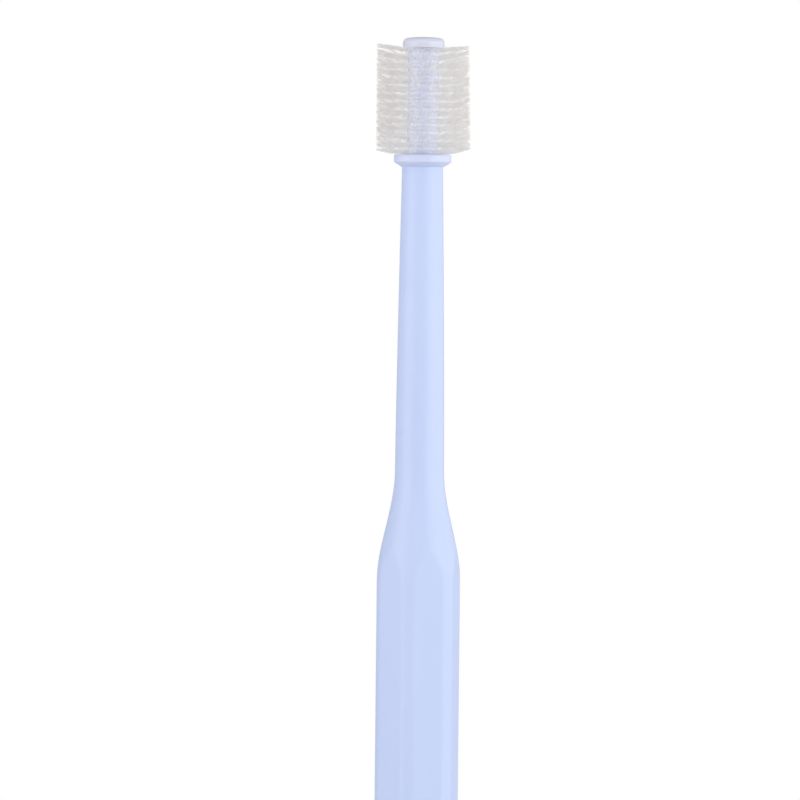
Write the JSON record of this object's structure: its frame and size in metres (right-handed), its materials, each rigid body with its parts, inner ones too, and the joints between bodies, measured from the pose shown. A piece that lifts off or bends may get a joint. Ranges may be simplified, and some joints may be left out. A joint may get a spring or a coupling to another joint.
{
  "type": "pet toothbrush",
  "caption": "Slim pet toothbrush with a round head of stacked bristle discs whose filaments point all ways, on a long six-sided grip.",
  "frame": {"origin": "centre of the flat end of the grip, on the brush's long axis, the lowest point as it stands", "axes": "+Z along the long axis from the grip to the head, -Y through one rounded corner of the six-sided grip, +X through one of its flats"},
  "size_m": [0.0142, 0.0142, 0.145],
  "materials": {
    "handle_plastic": "satin moulded plastic",
    "cap_plastic": "satin moulded plastic",
    "spacer_plastic": "satin moulded plastic",
    "bristle": "fine clear nylon filaments"
  },
  "bodies": {
    "root": {"handle": "handle_plastic", "end_cap": "cap_plastic", "bristle_disc_01": "bristle", "bristle_disc_02": "bristle", "bristle_disc_03": "bristle", "bristle_disc_04": "bristle", "bristle_disc_05": "bristle", "bristle_disc_06": "bristle", "bristle_disc_07": "bristle", "bristle_disc_08": "bristle", "bristle_disc_09": "bristle", "bristle_disc_10": "bristle", "bristle_disc_11": "bristle", "bristle_disc_12": "bristle", "bristle_disc_13": "bristle", "bristle_disc_14": "bristle", "spacer_ring_01": "spacer_plastic", "spacer_ring_02": "spacer_plastic", "spacer_ring_03": "spacer_plastic", "spacer_ring_04": "spacer_plastic", "spacer_ring_05": "spacer_plastic", "spacer_ring_06": "spacer_plastic", "spacer_ring_07": "spacer_plastic", "spacer_ring_08": "spacer_plastic", "spacer_ring_09": "spacer_plastic", "spacer_ring_10": "spacer_plastic", "spacer_ring_11": "spacer_plastic", "spacer_ring_12": "spacer_plastic", "spacer_ring_13": "spacer_plastic"}
  },
  "joints": []
}
